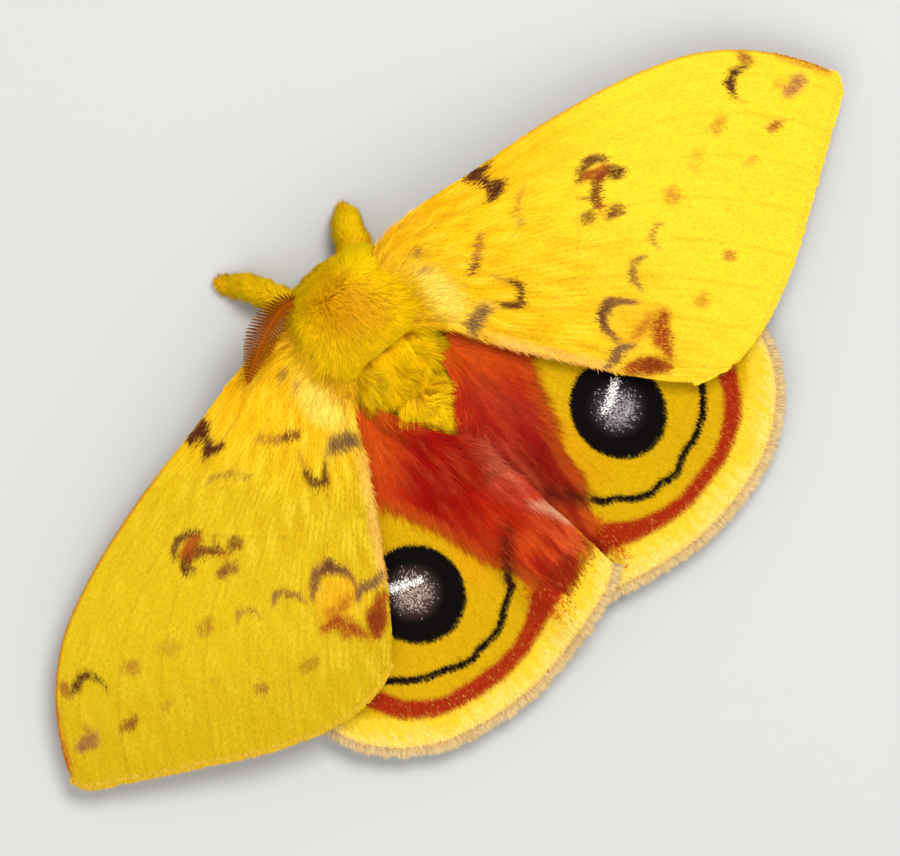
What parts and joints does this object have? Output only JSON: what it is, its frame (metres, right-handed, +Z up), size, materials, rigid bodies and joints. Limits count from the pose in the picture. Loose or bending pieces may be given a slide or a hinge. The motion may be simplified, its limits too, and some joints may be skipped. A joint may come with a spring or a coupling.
{
  "type": "io moth",
  "caption": "Life-size still model of a male io moth at rest, forewings spread forward to bare the hindwing eyespots, set on its feet on a flat floor.",
  "frame": {"origin": "on the floor, under the middle of the whole animal's footprint", "axes": "+X across the wings to the moth's right, +Y towards its head, +Z up from the floor"},
  "size_m": [0.067, 0.0339, 0.0086],
  "materials": {
    "coat": "soft golden fur",
    "eye": "dark and glossy, finely faceted",
    "antenna": "orange-brown, matt",
    "fore_wing": "yellow scales with brown marks, matt",
    "hind_wing": "yellow scales with a black eyespot and red bands, matt"
  },
  "bodies": {
    "root": {"head": "coat", "thorax": "coat", "abdomen": "coat", "eye_left": "eye", "eye_right": "eye", "antenna_left": "antenna", "antenna_right": "antenna", "wing_fore_left": "fore_wing", "wing_fore_right": "fore_wing", "wing_hind_left": "hind_wing", "wing_hind_right": "hind_wing", "leg_front_left": "coat", "leg_front_right": "coat", "leg_middle_left": "coat", "leg_middle_right": "coat", "leg_hind_left": "coat", "leg_hind_right": "coat"}
  },
  "joints": []
}
